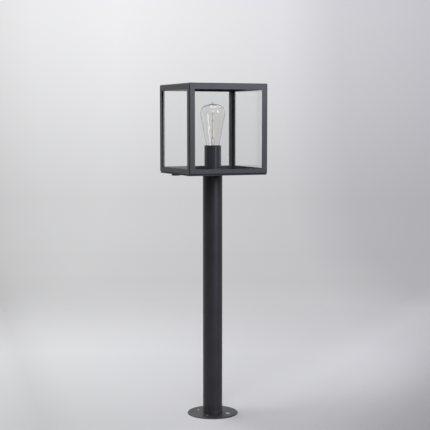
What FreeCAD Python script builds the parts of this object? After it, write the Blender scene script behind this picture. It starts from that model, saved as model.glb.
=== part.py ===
"""Outdoor post light: a glazed square lantern on a round post with a bolt-down foot. Millimetres, +Z up."""

import FreeCAD
import Part

import math
import os
from types import SimpleNamespace

import Sketcher
from FreeCAD import Placement, Rotation, Vector

SIZES = {
    # Foot: a round plate with a welded spigot that carries a collar of the post's own diameter
    "flange_diameter": 130,
    "flange_thickness": 3,
    "flange_edge_radius": 2.5,
    "anchor_circle": 86,
    "anchor_hole": 7,
    "anchor_countersink": 2,
    "cable_opening": 22,
    "cable_bore": 10,
    "grommet_clearance": 0.1,
    "grommet_lip_width": 3,
    "grommet_lip_height": 2,
    "collar_height": 8,
    "spigot_length": 60,
    "spigot_wall": 3,
    "spigot_clearance": 0.1,
    # Post
    "post_diameter": 50,
    "post_wall": 1.5,
    "post_length": 609,
    "seam_chamfer": 0.6,
    "grub_diameter": 6,
    "grub_length": 4,
    "grub_recess": 0.3,
    "grub_height": 20,
    "grub_socket": 3,
    "grub_socket_depth": 2.2,
    "thread_clearance": 0.05,
    "bolt_clearance": 0.25,
    "head_plate_diameter": 86,
    "head_plate_thickness": 3,
    "head_plate_hole": 30,
    # Tray under the lantern, with its screws
    "tray_inset": 1,
    "tray_thickness": 2,
    "tray_screw_circle": 66,
    "tray_screw_diameter": 5,
    "tray_screw_head": 9,
    "tray_screw_head_height": 3,
    "earth_screw_circle": 120,
    "earth_screw_diameter": 4,
    "earth_screw_head": 8,
    "earth_screw_head_height": 2.6,
    "earth_washer": 11,
    "earth_washer_thickness": 1,
    "gasket_thickness": 1,
    "gasket_inset": 2.5,
    "gasket_width": 11,
    # Cage of folded sheet
    "frame_width": 210,
    "frame_height": 224,
    "rail_height": 13,
    "roof_rim": 15.5,
    "leg_width": 15,
    "floor_leg": 15,
    "sheet_thickness": 1.5,
    "bend_radius": 2.5,
    # Glazing
    "pane_thickness": 3,
    "pane_edge_gap": 0.5,
    "pane_top_gap": 1,
    "corner_gap": 1.5,
    "tape_thickness": 1,
    "tape_width": 7.5,
    "clip_width": 10,
    "clip_height": 9,
    "clip_foot": 7,
    "clip_thickness": 0.8,
    "clip_spread": 60,
    # Thumbscrews that clamp the cage to the tray
    "thumb_inset": 10.5,
    "thumb_setback": 15,
    "thumb_diameter": 5,
    "thumb_head": 22,
    "thumb_head_height": 3.5,
    "thumb_head_chamfer": 0.6,
    "thumb_seat_gap": 0.2,
    "thumb_overrun": 1,
    "scallop_diameter": 4,
    "weld_nut_width": 8,
    "weld_nut_height": 4,
    # Cup and lampholder
    "cup_diameter": 43,
    "cup_height": 70,
    "cup_wall": 1.2,
    "nipple_diameter": 10,
    "nipple_bore": 7,
    "nipple_overrun": 2,
    "nipple_nut_width": 14,
    "nipple_nut_height": 4,
    "holder_cap_diameter": 38,
    "holder_cap_neck": 30,
    "holder_cap_height": 18,
    "holder_cap_wall": 3,
    "holder_cap_floor": 6,
    "insert_diameter": 33.6,
    "insert_height": 12,
    "holder_body_diameter": 39.2,
    "holder_body_height": 46,
    "holder_lip_height": 2,
    "shell_bore": 27,
    "shell_wall": 1.2,
    "holder_clearance": 0.1,
    "contact_rise": 8.4,
    "contact_gap": 0.2,
    "contact_width": 6,
    "contact_foot": 8,
    "contact_tip": 3,
    "contact_thickness": 0.6,
    "terminal_spread": 18,
    "terminal_diameter": 3.2,
    "terminal_length": 8,
    "terminal_head": 6,
    "terminal_head_height": 2.4,
    # Bulb
    "bulb_diameter": 64,
    "bulb_length": 140,
    "bulb_dome_height": 135.5,
    "bulb_widest_height": 112,
    "bulb_shoulder_radius": 22,
    "bulb_pip_radius": 3.5,
    "bulb_wall": 0.9,
    "bulb_flare_radius": 16.3,
    "bulb_flare_height": 29,
    "bulb_neck_radius": 12,
    "bulb_neck_height": 18,
    "bulb_cap_diameter": 26.2,
    "bulb_cap_wall": 0.7,
    "bulb_cap_height": 25.5,
    "bulb_cap_taper": 2.5,
    "bulb_insulator_radius": 9,
    "bulb_insulator_height": 1.8,
    "bulb_contact_radius": 5,
    "bulb_contact_height": 1.2,
    "stem_flare_height": 7,
    "stem_radius": 4,
    "stem_top_radius": 2.6,
    "stem_height": 30,
    "stem_pinch": 4,
    "filament_length": 45,
    "filament_diameter": 1.8,
    "filament_circle": 4.8,
    "filament_stand": 1.2,
    "support_diameter": 1.4,
    "support_length": 62,
    "cross_thickness": 0.8,
    "cross_width": 1.2,
    "cross_overrun": 0.9,
}

ANCHOR_COUNT = 4
ANCHOR_DEGREES = 45
GRUB_COUNT = 2
TRAY_SCREW_COUNT = 4
SCALLOP_COUNT = 10
FILAMENT_COUNT = 4
QUARTERS = range(4)
SIDE_NAMES = ("front", "right", "back", "left")
CORNER_NAMES = ("front_left", "front_right", "back_right", "back_left")
HEX_SIDE_COUNT = 6
FIRST_GRUB_DEGREES = 45
GRUB_STEP_DEGREES = 90
FULL_TURN = 360
HEX_FLATS_PER_CORNER = math.sqrt(3)
TOLERANCE = 1e-4
EARTH_SCREW_DEGREES = 45
TERMINAL_DEGREES = (0, 180)
Z_AXIS = Vector(0, 0, 1)
Y_AXIS = Vector(0, 1, 0)


class Length:
    """A size held both as a number and as the sheet formula that gives it."""

    def __init__(self, value, formula):
        self.value = float(value)
        self.formula = formula

    def __add__(self, other):
        other = as_length(other)
        return Length(self.value + other.value, f"({self.formula} + {other.formula})")

    def __sub__(self, other):
        other = as_length(other)
        return Length(self.value - other.value, f"({self.formula} - {other.formula})")

    def __mul__(self, factor):
        return Length(self.value * factor, f"({self.formula} * {factor:.12g})")

    def __truediv__(self, divisor):
        return Length(self.value / divisor, f"({self.formula} / {divisor:.12g})")

    def __neg__(self):
        return Length(-self.value, f"(0 - {self.formula})")


def as_length(number):
    """A plain number or a Length, as a Length."""
    return number if isinstance(number, Length) else Length(number, f"{number:.12g}")


ZERO = as_length(0)

doc = FreeCAD.newDocument("PostLight")


def fill_sheet():
    """The spreadsheet of driving sizes, and each size by its alias."""
    sheet = doc.addObject("Spreadsheet::Sheet", "Sizes")
    for row, (alias, number) in enumerate(SIZES.items(), start=1):
        sheet.set(f"A{row}", alias)
        sheet.set(f"B{row}", str(number))
        sheet.setAlias(f"B{row}", alias)
    doc.recompute()
    return SimpleNamespace(**{alias: Length(sheet.get(alias), f"Sizes.{alias}") for alias in SIZES})


size = fill_sheet()


# Places that several pieces share

def stack_levels():
    """Heights of the seats, from the ground up."""
    at = SimpleNamespace()
    at.spigot = size.flange_thickness
    at.post = at.spigot + size.collar_height
    at.head_plate = at.post + size.post_length
    at.tray = at.head_plate + size.head_plate_thickness
    at.gasket = at.tray + size.tray_thickness
    at.cage = at.gasket + size.gasket_thickness
    at.cage_floor = at.cage + size.sheet_thickness
    at.corner_post = at.cage + size.rail_height
    at.roof = at.cage + size.frame_height - size.roof_rim
    at.roof_underside = at.cage + size.frame_height - size.sheet_thickness
    at.cup_floor = at.gasket + size.cup_wall
    at.insert = at.cup_floor + size.holder_cap_height
    at.shell = at.insert + size.insert_height
    at.bulb = at.shell + size.contact_rise + size.contact_gap
    at.stem_top = at.bulb + size.bulb_neck_height + size.bulb_wall + size.stem_height
    at.filaments = at.stem_top + size.filament_stand + size.cross_thickness
    return at


level = stack_levels()

frame_half = size.frame_width / 2
frame_inside = frame_half - size.sheet_thickness
pane_face = frame_inside - size.tape_thickness
pane_back = pane_face - size.pane_thickness
pane_height = level.roof_underside - level.cage_floor - size.pane_top_gap
wide_pane = (frame_inside - size.corner_gap) * 2
narrow_pane = (pane_back - size.pane_edge_gap) * 2
post_radius = size.post_diameter / 2
spigot_radius = post_radius - size.post_wall - size.spigot_clearance
grub_hole = size.grub_diameter + size.thread_clearance * 2
thumb_place = frame_half - size.thumb_inset
thumb_hole = size.thumb_diameter + size.bolt_clearance * 2
nipple_hole = size.nipple_diameter + size.thread_clearance * 2
shell_radius = size.shell_bore / 2 + size.shell_wall


# Small tools for sketches and features

def bind(thing, prop, length):
    """Tie a property of an object to a length's formula."""
    thing.setExpression(prop, as_length(length).formula)


def place(thing, x=ZERO, y=ZERO, z=ZERO, turn=Rotation()):
    """Put a finished object at x, y, z, turned by a rotation."""
    thing.Placement = Placement(Vector(x.value, y.value, z.value), turn)
    for axis, length in zip("xyz", (x, y, z)):
        bind(thing, f"Placement.Base.{axis}", length)
    return thing


def quarter_turn(x, y, quarters):
    """The point x, y turned about the vertical axis by a number of quarter turns."""
    return ((x, y), (-y, x), (-x, -y), (y, -x))[quarters]


def turned(quarters):
    """A rotation about the vertical axis by a number of quarter turns."""
    return Rotation(Z_AXIS, 90 * quarters)


def new_body(label):
    body = doc.addObject("PartDesign::Body", label)
    body.Label = label
    return body


def origin_feature(body, role):
    return next(feature for feature in body.Origin.OriginFeatures if feature.Role == role)


def sketch_on(body, role="XY_Plane", lift=ZERO):
    """A sketch on one of the body's origin planes, lifted along its normal."""
    sketch = body.newObject("Sketcher::SketchObject", f"{body.Label}_sketch")
    sketch.AttachmentSupport = (origin_feature(body, role), [""])
    sketch.MapMode = "FlatFace"
    bind(sketch, "AttachmentOffset.Base.z", lift)
    return sketch


def pin_point(sketch, line, end, x, y):
    """Hold a point of the sketch at x, y."""
    for kind, axis, length in (("DistanceX", -2, x), ("DistanceY", -1, y)):
        if length.value == 0:
            sketch.addConstraint(Sketcher.Constraint("PointOnObject", line, end, axis))
            continue
        row = sketch.addConstraint(Sketcher.Constraint(kind, -1, 1, line, end, length.value))
        bind(sketch, f"Constraints[{row}]", length)


def draw_outline(sketch, corners):
    """A closed outline of straight lines through the corners."""
    points = [Vector(x.value, y.value, 0) for x, y in corners]
    lines = [
        sketch.addGeometry(Part.LineSegment(start, end), False)
        for start, end in zip(points, points[1:] + points[:1])
    ]
    for line, following in zip(lines, lines[1:] + lines[:1]):
        sketch.addConstraint(Sketcher.Constraint("Coincident", line, 2, following, 1))
    for line, (x, y) in zip(lines, corners):
        pin_point(sketch, line, 1, x, y)


def draw_rectangle(sketch, half_width, half_depth):
    draw_outline(
        sketch,
        [
            (-half_width, -half_depth),
            (half_width, -half_depth),
            (half_width, half_depth),
            (-half_width, half_depth),
        ],
    )


def draw_circle(sketch, diameter, x=ZERO, y=ZERO):
    circle = Part.Circle(Vector(x.value, y.value, 0), Z_AXIS, diameter.value / 2)
    row = sketch.addGeometry(circle, False)
    pin_point(sketch, row, 3, x, y)
    held = sketch.addConstraint(Sketcher.Constraint("Diameter", row, diameter.value))
    bind(sketch, f"Constraints[{held}]", diameter)


def pad(body, sketch, length):
    feature = body.newObject("PartDesign::Pad", f"{body.Label}_pad")
    feature.Profile = sketch
    bind(feature, "Length", length)
    doc.recompute()
    return feature


def pocket(body, sketch, depth=None, upward=True):
    """Cut a sketch out of the body, to a depth or right through, and make sure that it cut."""
    before = body.Shape.Volume
    feature = body.newObject("PartDesign::Pocket", f"{body.Label}_pocket")
    feature.Profile = sketch
    feature.Reversed = upward
    if depth is None:
        feature.Type = "ThroughAll"
    else:
        bind(feature, "Length", depth)
    doc.recompute()
    if not body.Shape.Volume < before:
        raise RuntimeError(f"a pocket of {body.Label} cut nothing")
    return feature


def revolve(body, corners):
    """Turn an outline of radius and height about the body's vertical axis."""
    sketch = sketch_on(body, "XZ_Plane")
    draw_outline(sketch, corners)
    feature = body.newObject("PartDesign::Revolution", f"{body.Label}_turned")
    feature.Profile = sketch
    feature.ReferenceAxis = (sketch, ["V_Axis"])
    feature.Angle = FULL_TURN
    doc.recompute()
    return feature


def repeat_round(body, feature, count, degrees=FULL_TURN):
    """Repeat a feature evenly about the body's vertical axis, over an angle."""
    pattern = body.newObject("PartDesign::PolarPattern", f"{body.Label}_pattern")
    pattern.Originals = [feature]
    pattern.Axis = (origin_feature(body, "Z_Axis"), [""])
    pattern.Angle = degrees
    pattern.Occurrences = count
    body.Tip = pattern
    doc.recompute()
    return pattern


def dress_edges(body, kind, length, chosen):
    """Fillet or chamfer the edges of the body that the test picks."""
    prop = {"Fillet": "Radius", "Chamfer": "Size"}[kind]
    base = body.Tip
    names = [f"Edge{row}" for row, edge in enumerate(base.Shape.Edges, start=1) if chosen(edge)]
    feature = body.newObject(f"PartDesign::{kind}", f"{body.Label}_{kind.lower()}")
    feature.Base = (base, names)
    bind(feature, prop, length)
    body.Tip = feature
    doc.recompute()
    return feature


def near(a, b):
    return abs(a - b) < TOLERANCE


def edge_height(edge):
    """The height of a level edge, or None for an edge that rises."""
    box = edge.BoundBox
    return box.ZMin if box.ZLength < TOLERANCE else None


def is_level_at(height):
    def chosen(edge):
        found = edge_height(edge)
        return found is not None and near(found, height)

    return chosen


def is_upright(edge):
    box = edge.BoundBox
    return box.ZLength > TOLERANCE and box.XLength < TOLERANCE and box.YLength < TOLERANCE


def is_upright_at(x, y):
    """Picks the upright edge over a point."""

    def chosen(edge):
        box = edge.BoundBox
        return is_upright(edge) and near(box.XMin, x) and near(box.YMin, y)

    return chosen


def is_round_at(radius, height):
    """Picks the level circle of a radius about the vertical axis at a height."""

    def chosen(edge):
        level_here = is_level_at(height)(edge)
        return level_here and hasattr(edge.Curve, "Radius") and near(edge.Curve.Radius, radius)

    return chosen


def group(label, members):
    """Several separate solids as one sub-part."""
    compound = doc.addObject("Part::Compound", label)
    compound.Label = label
    compound.Links = members
    return compound


def cylinder(label, diameter, height, **place_at):
    solid = doc.addObject("Part::Cylinder", label)
    bind(solid, "Radius", diameter / 2)
    bind(solid, "Height", height)
    return place(solid, **place_at)


def hex_nut(label, width, height, bore, **place_at):
    """A plain hexagon nut, standing on its place."""
    prism = doc.addObject("Part::Prism", f"{label}_prism")
    prism.Polygon = HEX_SIDE_COUNT
    bind(prism, "Circumradius", width / HEX_FLATS_PER_CORNER)
    bind(prism, "Height", height)
    nut = doc.addObject("Part::Cut", label)
    nut.Base = prism
    nut.Tool = cylinder(f"{label}_bore", bore, height)
    return place(nut, **place_at)


def screw(label, head, head_height, shank, shank_length, **place_at):
    """A pan-head screw with its shank pointing down, its head standing on its place."""
    body = new_body(label)
    revolve(
        body,
        [
            (ZERO, -shank_length),
            (shank / 2, -shank_length),
            (shank / 2, ZERO),
            (head / 2, ZERO),
            (head / 2, head_height / 2),
            (head / 2 - head_height / 2, head_height),
            (ZERO, head_height),
        ],
    )
    return place(body, **place_at)


def around(circle, degrees):
    """The point on a circle of a diameter, at an angle from +X."""
    angle = math.radians(degrees)
    return circle * (math.cos(angle) / 2), circle * (math.sin(angle) / 2)


# Foot and post

def base_plate():
    body = new_body("base_plate")
    outline = sketch_on(body)
    draw_circle(outline, size.flange_diameter)
    pad(body, outline, size.flange_thickness)
    opening = sketch_on(body)
    draw_circle(opening, size.cable_opening)
    pocket(body, opening)
    anchors = sketch_on(body)
    draw_circle(anchors, size.anchor_hole, *around(size.anchor_circle, ANCHOR_DEGREES))
    repeat_round(body, pocket(body, anchors), ANCHOR_COUNT)
    top = size.flange_thickness.value
    dress_edges(body, "Chamfer", size.anchor_countersink, is_round_at(size.anchor_hole.value / 2, top))
    dress_edges(body, "Fillet", size.flange_edge_radius, is_round_at(size.flange_diameter.value / 2, top))
    return body


def cable_grommet():
    body = new_body("cable_grommet")
    bore = size.cable_bore / 2
    plug = size.cable_opening / 2 - size.grommet_clearance
    lip = size.cable_opening / 2 + size.grommet_lip_width
    top = size.flange_thickness + size.grommet_lip_height
    revolve(
        body,
        [
            (bore, ZERO),
            (plug, ZERO),
            (plug, size.flange_thickness),
            (lip, size.flange_thickness),
            (lip - size.grommet_lip_height / 2, top),
            (bore, top),
        ],
    )
    return body


def drill_grub_holes(body, height):
    """Radial holes at a height, side by side on one half of the body."""
    hole = sketch_on(body, "XZ_Plane")
    draw_circle(hole, grub_hole, ZERO, height)
    first = pocket(body, hole, post_radius + size.post_wall, upward=False)
    repeat_round(body, first, GRUB_COUNT, GRUB_STEP_DEGREES * (GRUB_COUNT - 1))


def aim_grub_holes(body, height):
    """Turn a drilled tube so that its first hole faces the first grub screw."""
    probe = Vector(0, post_radius.value - size.post_wall.value / 2, height.value)
    holed_side = 90 if not body.Shape.isInside(probe, TOLERANCE, True) else -90
    return Rotation(Z_AXIS, FIRST_GRUB_DEGREES - holed_side)


def post_spigot():
    """Stub inside the post, with the collar that the post stands on."""
    body = new_body("post_spigot")
    bore = spigot_radius - size.spigot_wall
    top = size.collar_height + size.spigot_length
    revolve(
        body,
        [
            (bore, ZERO),
            (post_radius, ZERO),
            (post_radius, size.collar_height - size.seam_chamfer),
            (post_radius - size.seam_chamfer, size.collar_height),
            (spigot_radius, size.collar_height),
            (spigot_radius, top - size.spigot_wall),
            (spigot_radius - size.spigot_wall / 2, top),
            (bore, top),
        ],
    )
    drill_grub_holes(body, size.collar_height + size.grub_height)
    return body


def post_tube():
    body = new_body("post_tube")
    section = sketch_on(body)
    draw_circle(section, size.post_diameter)
    draw_circle(section, size.post_diameter - size.post_wall * 2)
    pad(body, section, size.post_length)
    dress_edges(body, "Chamfer", size.seam_chamfer, is_round_at(post_radius.value, 0))
    drill_grub_holes(body, size.grub_height)
    return body


def post_and_spigot():
    """The tube on its spigot, with their grub holes lined up."""
    tube = post_tube()
    stub = post_spigot()
    aim = aim_grub_holes(tube, size.grub_height)
    place(tube, z=level.post, turn=aim)
    place(stub, z=level.spigot, turn=aim)
    return tube, stub


def grub_screws():
    """Socket set screws in the spigot, backed out into the post's holes."""
    members = []
    inner_end = post_radius - size.grub_recess - size.grub_length
    for row in range(GRUB_COUNT):
        degrees = FIRST_GRUB_DEGREES + row * GRUB_STEP_DEGREES
        body = new_body(f"grub_screw_{row}")
        section = sketch_on(body)
        draw_circle(section, size.grub_diameter)
        pad(body, section, size.grub_length)
        socket = sketch_on(body, lift=size.grub_length)
        half = size.grub_socket / 2
        corner = size.grub_socket / HEX_FLATS_PER_CORNER
        flat = corner / 2
        upper_half = [(corner, ZERO), (flat, half), (-flat, half)]
        draw_outline(socket, upper_half + [(-x, -y) for x, y in upper_half])
        pocket(body, socket, size.grub_socket_depth, upward=False)
        x, y = around(inner_end * 2, degrees)
        outward = Rotation(Z_AXIS, degrees).multiply(Rotation(Y_AXIS, 90))
        members.append(place(body, x, y, level.post + size.grub_height, outward))
    return group("post_grub_screws", members)


def head_plate():
    """Disc welded on the post's top, tapped for the tray's screws."""
    body = new_body("head_plate")
    outline = sketch_on(body)
    draw_circle(outline, size.head_plate_diameter)
    draw_circle(outline, size.head_plate_hole)
    pad(body, outline, size.head_plate_thickness)
    tapped = sketch_on(body)
    draw_circle(tapped, size.tray_screw_diameter + size.thread_clearance * 2, size.tray_screw_circle / 2)
    repeat_round(body, pocket(body, tapped), TRAY_SCREW_COUNT)
    return place(body, z=level.head_plate)


# Tray and gasket

def drill_thumb_holes(body):
    """A hole for each thumbscrew, a little behind the middle of its side."""
    holes = sketch_on(body)
    for x in (-thumb_place, thumb_place):
        draw_circle(holes, thumb_hole, x, size.thumb_setback)
    pocket(body, holes)


def tray():
    body = new_body("tray")
    half = frame_half - size.tray_inset
    outline = sketch_on(body)
    draw_rectangle(outline, half, half)
    pad(body, outline, size.tray_thickness)
    dress_edges(body, "Fillet", size.bend_radius, is_upright)
    middle = sketch_on(body)
    draw_circle(middle, nipple_hole)
    pocket(body, middle)
    screws = sketch_on(body)
    draw_circle(screws, size.tray_screw_diameter + size.bolt_clearance * 2, size.tray_screw_circle / 2)
    repeat_round(body, pocket(body, screws), TRAY_SCREW_COUNT)
    drill_thumb_holes(body)
    earth = sketch_on(body)
    tapped = size.earth_screw_diameter + size.thread_clearance * 2
    draw_circle(earth, tapped, *around(size.earth_screw_circle, EARTH_SCREW_DEGREES))
    pocket(body, earth)
    return place(body, z=level.tray)


def tray_screws():
    members = []
    for row in range(TRAY_SCREW_COUNT):
        x, y = around(size.tray_screw_circle, row * FULL_TURN / TRAY_SCREW_COUNT)
        shank = size.tray_thickness + size.head_plate_thickness
        members.append(
            screw(
                f"tray_screw_{row}",
                size.tray_screw_head,
                size.tray_screw_head_height,
                size.tray_screw_diameter,
                shank,
                x=x,
                y=y,
                z=level.gasket,
            )
        )
    return group("tray_screws", members)


def earth_terminal():
    """Earth screw with its washer, on the tray."""
    x, y = around(size.earth_screw_circle, EARTH_SCREW_DEGREES)
    washer = new_body("earth_washer")
    ring = sketch_on(washer)
    draw_circle(ring, size.earth_washer)
    draw_circle(ring, size.earth_screw_diameter + size.bolt_clearance * 2)
    pad(washer, ring, size.earth_washer_thickness)
    place(washer, x, y, level.gasket)
    fastener = screw(
        "earth_screw",
        size.earth_screw_head,
        size.earth_screw_head_height,
        size.earth_screw_diameter,
        size.tray_thickness + size.earth_washer_thickness,
        x=x,
        y=y,
        z=level.gasket + size.earth_washer_thickness,
    )
    return washer, fastener


def tray_gasket():
    body = new_body("tray_gasket")
    outer = frame_half - size.gasket_inset
    inner = outer - size.gasket_width
    outline = sketch_on(body)
    draw_rectangle(outline, outer, outer)
    draw_rectangle(outline, inner, inner)
    pad(body, outline, size.gasket_thickness)
    drill_thumb_holes(body)
    return place(body, z=level.gasket)


# Cage

def cage_ring():
    """Bottom rails: a folded angle ring with an upright wall and a floor leg."""
    body = new_body("bottom_frame")
    outline = sketch_on(body)
    draw_rectangle(outline, frame_half, frame_half)
    pad(body, outline, size.rail_height)
    dress_edges(body, "Fillet", size.bend_radius, lambda edge: is_upright(edge) or is_level_at(0)(edge))
    channel = sketch_on(body, lift=size.rail_height)
    draw_rectangle(channel, frame_inside, frame_inside)
    pocket(body, channel, size.rail_height - size.sheet_thickness, upward=False)
    opening = sketch_on(body)
    inner = frame_half - size.floor_leg
    draw_rectangle(opening, inner, inner)
    pocket(body, opening)
    drill_thumb_holes(body)
    return place(body, z=level.cage)


def corner_post(quarters):
    """Folded angle between the bottom rails and the roof's rim."""
    body = new_body(f"corner_post_{CORNER_NAMES[quarters]}")
    near_face = -frame_half
    leg_end = near_face + size.leg_width
    inside = near_face + size.sheet_thickness
    section = sketch_on(body)
    draw_outline(
        section,
        [
            (near_face, near_face),
            (leg_end, near_face),
            (leg_end, inside),
            (inside, inside),
            (inside, leg_end),
            (near_face, leg_end),
        ],
    )
    pad(body, section, size.frame_height - size.rail_height - size.roof_rim)
    for fold, radius in ((near_face, size.bend_radius), (inside, size.bend_radius - size.sheet_thickness)):
        dress_edges(body, "Fillet", radius, is_upright_at(fold.value, fold.value))
    return place(body, z=level.corner_post, turn=turned(quarters))


def roof_cap():
    """Flat roof with a folded rim that makes the top rails."""
    body = new_body("roof_cap")
    outline = sketch_on(body)
    draw_rectangle(outline, frame_half, frame_half)
    pad(body, outline, size.roof_rim)
    top = size.roof_rim.value
    dress_edges(body, "Fillet", size.bend_radius, lambda edge: is_upright(edge) or is_level_at(top)(edge))
    hollow = sketch_on(body)
    draw_rectangle(hollow, frame_inside, frame_inside)
    pocket(body, hollow, size.roof_rim - size.sheet_thickness)
    return place(body, z=level.roof)


def box(label, width, depth, height, **place_at):
    solid = doc.addObject("Part::Box", label)
    solid.Label = label
    bind(solid, "Length", width)
    bind(solid, "Width", depth)
    bind(solid, "Height", height)
    return place(solid, **place_at)


def pane_width(quarters):
    return wide_pane if quarters % 2 == 0 else narrow_pane


def glass_pane(quarters):
    """One pane, standing on the floor leg inside its own side."""
    width = pane_width(quarters)
    x, y = quarter_turn(-width / 2, -pane_face, quarters)
    label = f"pane_{SIDE_NAMES[quarters]}"
    turn = turned(quarters)
    return box(label, width, size.pane_thickness, pane_height, x=x, y=y, z=level.cage_floor, turn=turn)


def glazing_tapes():
    """Rubber tape between each pane and the sheet around its window."""
    members = []
    for quarters in QUARTERS:
        width = pane_width(quarters)
        name = f"tape_{SIDE_NAMES[quarters]}"
        inner_width = width - size.tape_width * 2
        inner_height = pane_height - size.tape_width * 2
        ring = doc.addObject("Part::Cut", name)
        thick = size.tape_thickness
        edge = size.tape_width
        ring.Base = box(f"{name}_outer", width, thick, pane_height)
        ring.Tool = box(f"{name}_window", inner_width, thick, inner_height, x=edge, z=edge)
        x, y = quarter_turn(-width / 2, -frame_inside, quarters)
        members.append(place(ring, x, y, level.cage_floor, turned(quarters)))
    return group("glazing_tapes", members)


def glazing_clip(label, seat, rise, along, quarters):
    """A bent spring clip behind a pane. Its foot is on the seat and its arm goes up or down."""
    body = new_body(label)
    glass = -pane_back
    arm = glass + size.clip_thickness
    foot = arm + size.clip_foot
    profile = sketch_on(body, "YZ_Plane", lift=along - size.clip_width / 2)
    draw_outline(
        profile,
        [
            (glass, seat),
            (foot, seat),
            (foot, seat + size.clip_thickness * rise),
            (arm, seat + size.clip_thickness * rise),
            (arm, seat + size.clip_height * rise),
            (glass, seat + size.clip_height * rise),
        ],
    )
    pad(body, profile, size.clip_width)
    return place(body, turn=turned(quarters))


def glazing_clips():
    members = []
    for quarters in QUARTERS:
        for along, hand in ((size.clip_spread, "right"), (-size.clip_spread, "left")):
            name = f"clip_{SIDE_NAMES[quarters]}_{hand}"
            members.append(glazing_clip(f"{name}_low", level.cage_floor, 1, along, quarters))
            members.append(glazing_clip(f"{name}_high", level.roof_underside, -1, along, quarters))
    return group("glazing_clips", members)


def weld_nuts():
    """Nuts on the floor leg that take the thumbscrews."""
    bore = size.thumb_diameter + size.thread_clearance * 2
    width = size.weld_nut_width
    height = size.weld_nut_height
    members = [
        hex_nut(f"weld_nut_{row}", width, height, bore, x=x, y=size.thumb_setback, z=level.cage_floor)
        for row, x in enumerate((-thumb_place, thumb_place))
    ]
    return group("weld_nuts", members)


def thumb_screw(hand, x):
    """Low scalloped thumbscrew under the tray, up through the gasket and the floor leg into its nut."""
    body = new_body(f"thumb_screw_{hand}")
    radius = size.thumb_diameter / 2
    head = size.thumb_head / 2
    chamfer = size.thumb_head_chamfer
    through = size.tray_thickness + size.gasket_thickness + size.sheet_thickness
    top = size.thumb_head_height + size.thumb_seat_gap + through + size.weld_nut_height + size.thumb_overrun
    revolve(
        body,
        [
            (ZERO, ZERO),
            (head - chamfer, ZERO),
            (head, chamfer),
            (head, size.thumb_head_height - chamfer),
            (head - chamfer, size.thumb_head_height),
            (radius, size.thumb_head_height),
            (radius, top),
            (ZERO, top),
        ],
    )
    scallop = sketch_on(body)
    draw_circle(scallop, size.scallop_diameter, head + size.scallop_diameter / 4)
    repeat_round(body, pocket(body, scallop, size.thumb_head_height), SCALLOP_COUNT)
    foot = level.tray - size.thumb_seat_gap - size.thumb_head_height
    return place(body, x, size.thumb_setback, foot)


# Cup and lampholder

def holder_cup():
    """Open-topped cover round the lampholder."""
    body = new_body("holder_cup")
    outer = size.cup_diameter / 2
    inner = outer - size.cup_wall
    hole = nipple_hole / 2
    revolve(
        body,
        [
            (hole, ZERO),
            (outer, ZERO),
            (outer, size.cup_height),
            (inner, size.cup_height),
            (inner, size.cup_wall),
            (hole, size.cup_wall),
        ],
    )
    return place(body, z=level.gasket)


def threaded_nipple():
    """Hollow threaded tube that clamps lampholder, cup and tray, and lets the wires through."""
    body = new_body("threaded_nipple")
    clamped = size.nipple_nut_height + size.tray_thickness + size.cup_wall + size.holder_cap_floor
    section = sketch_on(body)
    draw_circle(section, size.nipple_diameter)
    draw_circle(section, size.nipple_bore)
    pad(body, section, clamped + size.nipple_overrun * 2)
    return place(body, z=level.tray - size.nipple_nut_height - size.nipple_overrun)


def nipple_nut():
    seat = level.tray - size.nipple_nut_height
    return hex_nut("nipple_nut", size.nipple_nut_width, size.nipple_nut_height, nipple_hole, z=seat)


def lampholder_cap():
    """Lower half of the lampholder, with the threaded entry and room for the terminals."""
    body = new_body("lampholder_cap")
    outer = size.holder_cap_diameter / 2
    inner = outer - size.holder_cap_wall
    hole = nipple_hole / 2
    revolve(
        body,
        [
            (hole, ZERO),
            (size.holder_cap_neck / 2, ZERO),
            (outer, size.holder_cap_floor),
            (outer, size.holder_cap_height),
            (inner, size.holder_cap_height),
            (inner, size.holder_cap_floor),
            (hole, size.holder_cap_floor),
        ],
    )
    return place(body, z=level.cup_floor)


def contact_insert():
    """Ceramic disc that carries the contacts, held between the lampholder's two halves."""
    body = new_body("contact_insert")
    outline = sketch_on(body)
    draw_circle(outline, size.insert_diameter)
    pad(body, outline, size.insert_height)
    for degrees in TERMINAL_DEGREES:
        hole = sketch_on(body)
        tapped = size.terminal_diameter + size.thread_clearance * 2
        draw_circle(hole, tapped, size.terminal_spread * (math.cos(math.radians(degrees)) / 2))
        pocket(body, hole, size.terminal_length)
    return place(body, z=level.insert)


def terminal_screws():
    """Screws that clamp the wires, heads down, under the insert."""
    members = []
    for row, degrees in enumerate(TERMINAL_DEGREES):
        fastener = screw(
            f"terminal_screw_{row}",
            size.terminal_head,
            size.terminal_head_height,
            size.terminal_diameter,
            size.terminal_length,
            x=size.terminal_spread * (math.cos(math.radians(degrees)) / 2),
            z=level.insert,
            turn=Rotation(Y_AXIS, 180),
        )
        members.append(fastener)
    return group("terminal_screws", members)


def lampholder_body():
    """Upper half of the lampholder, which holds the insert and the screw shell."""
    body = new_body("lampholder_body")
    outer = size.holder_body_diameter / 2
    insert_room = size.insert_diameter / 2 + size.holder_clearance
    shell_room = shell_radius + size.holder_clearance
    mouth = shell_radius - size.shell_wall / 2
    lip = size.holder_body_height - size.holder_lip_height
    revolve(
        body,
        [
            (insert_room, ZERO),
            (outer, ZERO),
            (outer, lip),
            (outer - size.holder_lip_height, size.holder_body_height),
            (mouth, size.holder_body_height),
            (mouth, lip),
            (shell_room, lip),
            (shell_room, size.insert_height),
            (insert_room, size.insert_height),
        ],
    )
    return place(body, z=level.insert)


def screw_shell():
    """Metal sleeve that takes the bulb's cap."""
    body = new_body("screw_shell")
    section = sketch_on(body)
    draw_circle(section, shell_radius * 2)
    draw_circle(section, size.shell_bore)
    pad(body, section, size.holder_body_height - size.insert_height - size.holder_lip_height)
    return place(body, z=level.shell)


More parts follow.
